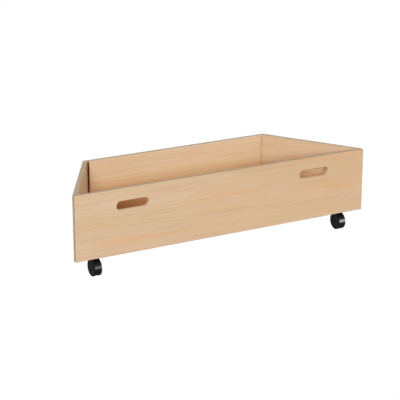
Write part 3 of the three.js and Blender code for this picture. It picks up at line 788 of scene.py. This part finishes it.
def wheel(c, side):
    sx, sy, ay, az = castor_place(c)
    s = -1 if side == "left" else 1
    node = f"{c}_castor_{side}_wheel"
    lo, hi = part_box(node)
    inner = (lo.x - sx) if s > 0 else (sx - hi.x)      # distance of the inner face from the mid plane
    outer = (hi.x - sx) if s > 0 else (sx - lo.x)
    R = az                                              # the wheel stands on the floor
    ri, ro = 0.25 * MM, 0.9 * MM                         # tread rounding, inside and outside
    tread = [(R - ri + ri * math.sin(a), inner + ri - ri * math.cos(a)) for a in (math.pi / 2 * i / 8 for i in range(9))]
    tread += [(R - ro + ro * math.cos(a), outer - ro + ro * math.sin(a)) for a in (math.pi / 2 * i / 12 for i in range(13))]
    bore = 2.15 * MM
    hub = 4.4 * MM
    prof = [(0.0, outer - 1.3 * MM), (bore, outer - 1.3 * MM), (bore, inner + 0.3 * MM), (bore + 0.3 * MM, inner)]
    # inner face: hub, dished ring, rim
    prof += [(hub, inner), (hub + 0.3 * MM, inner + 0.25 * MM), (hub + 0.5 * MM, inner + 1.5 * MM), (hub + 1.0 * MM, inner + 1.9 * MM)]
    prof += [(R - 6.6 * MM, inner + 1.9 * MM), (R - 6.0 * MM, inner + 1.5 * MM), (R - 5.6 * MM, inner + 0.25 * MM), (R - 5.2 * MM, inner)]
    prof += [(R - 2.4 * MM, inner)] + tread + [(R - 4.2 * MM, outer - 0.02 * MM)]
    # outer face: rounded rim, shallow dish, domed hub cap with a fine groove round it
    prof += [(R - 5.0 * MM, outer - 0.12 * MM), (R - 5.7 * MM, outer - 0.42 * MM), (R - 6.2 * MM, outer - 0.80 * MM), (R - 7.0 * MM, outer - 0.98 * MM)]
    prof += [(11.0 * MM, outer - 1.05 * MM), (8.9 * MM, outer - 1.0 * MM), (8.3 * MM, outer - 0.85 * MM), (8.1 * MM, outer - 0.55 * MM), (7.8 * MM, outer - 0.40 * MM), (7.5 * MM, outer - 0.42 * MM)]
    prof += [(7.35 * MM, outer - 0.72 * MM), (7.0 * MM, outer - 0.74 * MM), (6.85 * MM, outer - 0.45 * MM), (6.5 * MM, outer - 0.33 * MM), (4.5 * MM, outer - 0.20 * MM), (2.2 * MM, outer - 0.13 * MM), (0.0, outer - 0.12 * MM)]
    ob = solid_of_revolution(f"{node}_moulded", prof, (sx, ay, az), (s, 0, 0), 96)
    ob.data.materials.append(wheel_black)
    shade(ob, angle=50)
    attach(ob, f"{c}_{side}_roller")
    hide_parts(node)
    return ob


def prism(bm, outline, x0, x1, to_world):
    """Closed prism: `outline` (p, q) anticlockwise, between depths x0 and x1."""
    a = [bm.verts.new(to_world(p, q, x0)) for p, q in outline]
    b = [bm.verts.new(to_world(p, q, x1)) for p, q in outline]
    m = len(outline)
    for k in range(m):
        j = (k + 1) % m
        bm.faces.new((a[k], a[j], b[j], b[k]))
    bm.faces.new(tuple(reversed(a)))
    bm.faces.new(tuple(b))


def housing_mesh(c):
    """Web between the wheels, boss on the swivel axis and saddle over the wheels, moulded
    as one body with soft fillets. Built about the first castor and copied to the others."""
    sx, sy, ay, az = castor_place(c)
    top = 2 * az
    plate_lo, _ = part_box(f"{c}_castor_plate")
    h_lo, h_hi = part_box(f"{c}_castor_housing")
    w = 3.55 * MM
    R = az
    parts = []

    def part(build):
        bm = bmesh.new()
        build(bm)
        ob = link("part", mesh_of("part", bm))
        parts.append(ob)
        return ob

    # web: a disc level with the treads, cut off above the floor
    def web(bm, r=R - 1.2 * MM):
        pts = []
        low = 9.0 * MM - az
        a0 = math.degrees(math.asin(low / r))
        n = 144
        for i in range(n + 1):
            a = math.radians(a0 + (180 - 2 * a0) * i / n)
            pts.append((r * math.cos(a), r * math.sin(a)))
        prism(bm, pts, -w, w, lambda p, q, x: (sx + x, ay + p, az + q))
    part(web)

    def gusset(bm):
        y0 = ay - sy
        pts = [(y0, az + 6 * MM), (3 * MM, top - 14 * MM), (6.6 * MM, top - 8 * MM), (7.2 * MM, top + 4 * MM), (y0, top + 4 * MM)]
        prism(bm, pts, -w, w, lambda p, q, x: (sx + x, sy + p, q))
    part(gusset)

    def boss(bm):
        z1 = h_hi.z
        z0 = top - 2.0 * MM
        r = 7.9 * MM
        lathe(bm, [(0.0, 0.0), (r - 1.2 * MM, 0.0), (r, 1.2 * MM), (r, z1 - z0 - 0.8 * MM), (r - 0.8 * MM, z1 - z0), (0.0, z1 - z0)], (sx, sy, z0), (0, 0, 1), 64)
    part(boss)

    def saddle(bm):
        y0 = ay - sy
        ys = (y0 - 7.8 * MM, 5.1 * MM)
        zs = (top + 1.0 * MM, top + 5.7 * MM)
        nx, ny = 24, 40
        hx = 9.2 * MM
        # a pillow-topped pad: rounded in plan and crowned
        grid_t, grid_b = [], []
        for i in range(ny + 1):
            row_t, row_b = [], []
            for k in range(nx + 1):
                a, b = -1 + 2 * k / nx, -1 + 2 * i / ny
                # superellipse mapping keeps the outline a rounded rectangle
                ca, cb = a * math.sqrt(max(0.0, 1 - 0.30 * b ** 8)), b * math.sqrt(max(0.0, 1 - 0.22 * a ** 8))
                x = hx * ca
                y = (ys[0] + ys[1]) / 2 + (ys[1] - ys[0]) / 2 * cb
                crown = (1 - abs(a) ** 5) ** 0.5 if abs(a) < 1 else 0.0
                crown2 = (1 - abs(b) ** 7) ** 0.5 if abs(b) < 1 else 0.0
                z = zs[0] + 0.8 * MM + (zs[1] - zs[0] - 0.8 * MM) * crown * crown2
                row_t.append(bm.verts.new((sx + x, sy + y, z)))
                row_b.append(bm.verts.new((sx + x, sy + y, zs[0])))
            grid_t.append(row_t)
            grid_b.append(row_b)
        for i in range(ny):
            for k in range(nx):
                bm.faces.new((grid_t[i][k], grid_t[i][k + 1], grid_t[i + 1][k + 1], grid_t[i + 1][k]))
                bm.faces.new((grid_b[i][k], grid_b[i + 1][k], grid_b[i + 1][k + 1], grid_b[i][k + 1]))
        rim_t = grid_t[0][:-1] + [grid_t[i][nx] for i in range(ny)] + grid_t[ny][:0:-1] + [grid_t[i][0] for i in range(ny, 0, -1)]
        rim_b = grid_b[0][:-1] + [grid_b[i][nx] for i in range(ny)] + grid_b[ny][:0:-1] + [grid_b[i][0] for i in range(ny, 0, -1)]
        m = len(rim_t)
        for k in range(m):
            j = (k + 1) % m
            bm.faces.new((rim_b[k], rim_b[j], rim_t[j], rim_t[k]))
    part(saddle)

    base = parts[0]
    for i, other in enumerate(parts[1:]):
        mod = base.modifiers.new(f"join{i}", "BOOLEAN")
        mod.operation = "UNION"
        mod.solver = "EXACT"
        mod.object = other
    bake_modifiers(base)
    for other in parts[1:]:
        me = other.data
        bpy.data.objects.remove(other)
        bpy.data.meshes.remove(me)
    rm = base.modifiers.new("remesh", "REMESH")
    rm.mode = "VOXEL"
    rm.voxel_size = 0.42 * MM
    rm.adaptivity = 0.0
    sm = base.modifiers.new("smooth", "SMOOTH")
    sm.factor = 0.5
    sm.iterations = 5
    dc = base.modifiers.new("decimate", "DECIMATE")
    dc.ratio = 0.28
    bake_modifiers(base)
    # the web's rim stays crisp, so that it runs on from tread to tread
    bm = bmesh.new()
    web(bm, R - 0.12 * MM)
    rim = link("rim", mesh_of("rim", bm))
    mod = base.modifiers.new("rim", "BOOLEAN")
    mod.operation = "UNION"
    mod.solver = "EXACT"
    mod.object = rim
    bake_modifiers(base)
    me = rim.data
    bpy.data.objects.remove(rim)
    bpy.data.meshes.remove(me)
    # the kingpin's bore and the axle's bore, cut crisp after the smoothing
    bores = [
        solid_of_revolution("bore", [(0, 0), (4.0 * MM, 0), (4.0 * MM, 20 * MM), (0, 20 * MM)], (sx, sy, top - 0.1 * MM), (0, 0, 1), 40),
        solid_of_revolution("bore", [(0, 0), (2.3 * MM, 0), (2.3 * MM, 24 * MM), (0, 24 * MM)], (sx - 12 * MM, ay, az), (1, 0, 0), 32),
    ]
    cut(base, bores)
    base.data.materials.append(housing_black)
    shade(base, weighted=False, angle=40)
    return base


def castor_plate(c):
    """Pressed steel plate with four screw holes, a raised ball race and the kingpin."""
    lo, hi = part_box(f"{c}_castor_plate")
    sx, sy = (lo.x + hi.x) / 2, (lo.y + hi.y) / 2
    h = (hi.x - lo.x) / 2
    t = 2.0 * MM
    z1 = hi.z
    z0 = z1 - t
    r = 5.0 * MM
    bm = bmesh.new()
    pts = arc(h - r, h - r, r, 0, 90, 10) + arc(-h + r, h - r, r, 90, 180, 10) + arc(-h + r, -h + r, r, 180, 270, 10) + arc(h - r, -h + r, r, 270, 360, 10)
    prism(bm, pts, z0, z1, lambda p, q, z: (sx + p, sy + q, z))
    clean(bm)
    edges = [e for e in bm.edges if len(e.link_faces) == 2 and e.calc_face_angle(0) > math.radians(60)]
    bmesh.ops.bevel(bm, geom=edges, offset=0.35 * MM, offset_type="OFFSET", segments=3, profile=0.5, affect="EDGES", clamp_overlap=True)
    name = f"{c}_castor_plate_pressed"
    ob = link(name, mesh_of(name, bm))
    race = solid_of_revolution("race", [(0, 0), (5.6 * MM, 0), (6.4 * MM, 0.35 * MM), (6.5 * MM, 0.8 * MM), (6.5 * MM, 1.4 * MM), (0, 1.4 * MM)], (sx, sy, z0 - 0.8 * MM), (0, 0, 1), 56)
    pin = solid_of_revolution("pin", [(0, 0), (2.9 * MM, 0), (3.45 * MM, 0.6 * MM), (3.45 * MM, z0 - lo.z + 0.4 * MM), (0, z0 - lo.z + 0.4 * MM)], (sx, sy, lo.z), (0, 0, 1), 40)
    for i, other in enumerate((race, pin)):
        mod = ob.modifiers.new(f"join{i}", "BOOLEAN")
        mod.operation = "UNION"
        mod.solver = "EXACT"
        mod.object = other
    bake_modifiers(ob)
    for other in (race, pin):
        me = other.data
        bpy.data.objects.remove(other)
        bpy.data.meshes.remove(me)
    holes = []
    for i in (-1, 1):
        for j in (-1, 1):
            holes.append(solid_of_revolution("hole", [(0, 0), (2.2 * MM, 0), (2.2 * MM, 6 * MM), (0, 6 * MM)], (sx + i * 14 * MM, sy + j * 14 * MM, z0 - 2 * MM), (0, 0, 1), 32))
    cut(ob, holes)
    ob.data.materials.append(black_plate)
    shade(ob, angle=40)
    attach(ob, "box")
    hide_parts(f"{c}_castor_plate")
    return ob


first = housing_mesh("front_left")
fx, fy, _, _ = castor_place("front_left")
housings = {}
for c in CASTORS:
    sx, sy, _, _ = castor_place(c)
    if c == "front_left":
        ob = first
        ob.name = f"{c}_castor_housing_moulded"
        ob.data.name = ob.name
    else:
        me = first.data.copy()
        me.transform(Matrix.Translation((sx - fx, sy - fy, 0)))
        me.name = f"{c}_castor_housing_moulded"
        ob = link(me.name, me)
    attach(ob, f"{c}_swivel")
    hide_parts(f"{c}_castor_housing")
    housings[c] = ob
    castor_plate(c)
    for side in ("left", "right"):
        wheel(c, side)
    axle = frame["nodes"][f"{c}_castor_axle"]
    axle.data.materials.clear()
    axle.data.materials.append(axle_steel)

# ------------------------------------------------------------------ floor
bm = bmesh.new()
size = 40.0
n = 8
grid = [[bm.verts.new((-size + 2 * size * i / n, -size + 2 * size * j / n, 0.0)) for j in range(n + 1)] for i in range(n + 1)]
for i in range(n):
    for j in range(n):
        bm.faces.new((grid[i][j], grid[i + 1][j], grid[i + 1][j + 1], grid[i][j + 1]))
# the same white carries on up and over as a dome, so a low view shows no horizon
lathe(bm, [(38.0 * math.cos(math.radians(a)), 38.0 * math.sin(math.radians(a))) for a in range(0, 90, 6)] + [(0.0, 38.0)], (0, 0, 0), (0, 0, 1), 48)
floor_me = bpy.data.meshes.new("floor")
bm.to_mesh(floor_me)
bm.free()
floor = link("floor", floor_me)
fm, ft = new_material("studio_floor")
out = ft.node("ShaderNodeOutputMaterial")
glow = ft.node("ShaderNodeEmission")
cloud = ft.noise(ft.node("ShaderNodeTexCoord").outputs["Object"], 1.5, 2.0, 0.5)
ft.put(glow.inputs["Color"], ft.mix(cloud, (1.0, 1.0, 1.0), (0.995, 0.995, 0.995)))
glow.inputs["Strength"].default_value = 1.01
ft.t.links.new(glow.outputs[0], out.inputs[0])
floor.data.materials.append(fm)
# a lit white sweep: it is seen, and the light below the object comes from the sky's lower half
floor.visible_diffuse = False
floor.visible_glossy = False
floor.visible_shadow = False

# ------------------------------------------------------------------ light
world = bpy.data.worlds.new("studio")
bpy.context.scene.world = world
world.use_nodes = True
wt = Tree(world.node_tree)
wout = wt.node("ShaderNodeOutputWorld")
bg = wt.node("ShaderNodeBackground")
sky = wt.split(wt.node("ShaderNodeTexCoord").outputs["Generated"])
level = wt.linear(sky[1], -0.6, 0.9, FRONT_SKY, BACK_SKY)          # brighter behind the box
level = wt.math("MULTIPLY", level, wt.smooth(sky[2], 0.25, 0.95, 1.0, ZENITH))
level = wt.math("MULTIPLY", level, wt.smooth(sky[2], -0.25, -0.02, GROUND, 1.0))
wt.put(bg.inputs["Color"], wt.combine(level, level, level))
bg.inputs["Strength"].default_value = 1.0
wt.t.links.new(bg.outputs[0], wout.inputs[0])


def aim(ob, direction):
    ob.rotation_euler = Vector(direction).to_track_quat("-Z", "Y").to_euler()


def sun(name, azimuth, elevation, strength, angle, glossy=False):
    """Soft parallel light from `azimuth` degrees left of the front, `elevation` up."""
    d = bpy.data.lights.new(name, "SUN")
    d.energy = strength
    d.angle = math.radians(angle)
    o = bpy.data.objects.new(name, d)
    bpy.context.scene.collection.objects.link(o)
    az, el = math.radians(azimuth), math.radians(elevation)
    aim(o, (math.sin(az) * math.cos(el), math.cos(az) * math.cos(el), -math.sin(el)))
    o.visible_glossy = glossy
    return o


def area(name, location, target, size_x, size_y, power, diffuse=True):
    d = bpy.data.lights.new(name, "AREA")
    d.shape = "RECTANGLE"
    d.size, d.size_y = size_x, size_y
    d.energy = power
    o = bpy.data.objects.new(name, d)
    bpy.context.scene.collection.objects.link(o)
    o.location = location
    aim(o, Vector(target) - Vector(location))
    o.visible_diffuse = diffuse
    return o


sun("key", KEY_AZIMUTH, KEY_ELEVATION, KEY_POWER, 13.0)
sun("fill", FILL_AZIMUTH, FILL_ELEVATION, FILL_POWER, 30.0)
sun("rear_fill", REAR_AZIMUTH, REAR_ELEVATION, REAR_POWER, 30.0)
# two low softboxes, dim and bright: they light the castors alone
castor_pieces = bpy.data.collections.new("castor_pieces")
for ob in list(bpy.context.scene.objects):
    if "_castor_" in ob.name:
        castor_pieces.objects.link(ob)
for name, x, y, power in (("softbox_left", 0.72, -2.95, BOX_LEFT), ("softbox_right", 2.00, -2.45, BOX_RIGHT)):
    box = area(name, (x, y, 0.20), (0.0, -0.12, 0.05), 1.35, 1.35, power, diffuse=False)
    box.light_linking.receiver_collection = castor_pieces

scene = bpy.context.scene
scene.view_settings.view_transform = "Standard"
scene.view_settings.look = "None"
scene.view_settings.exposure = 0.0
scene.view_settings.gamma = 1.0
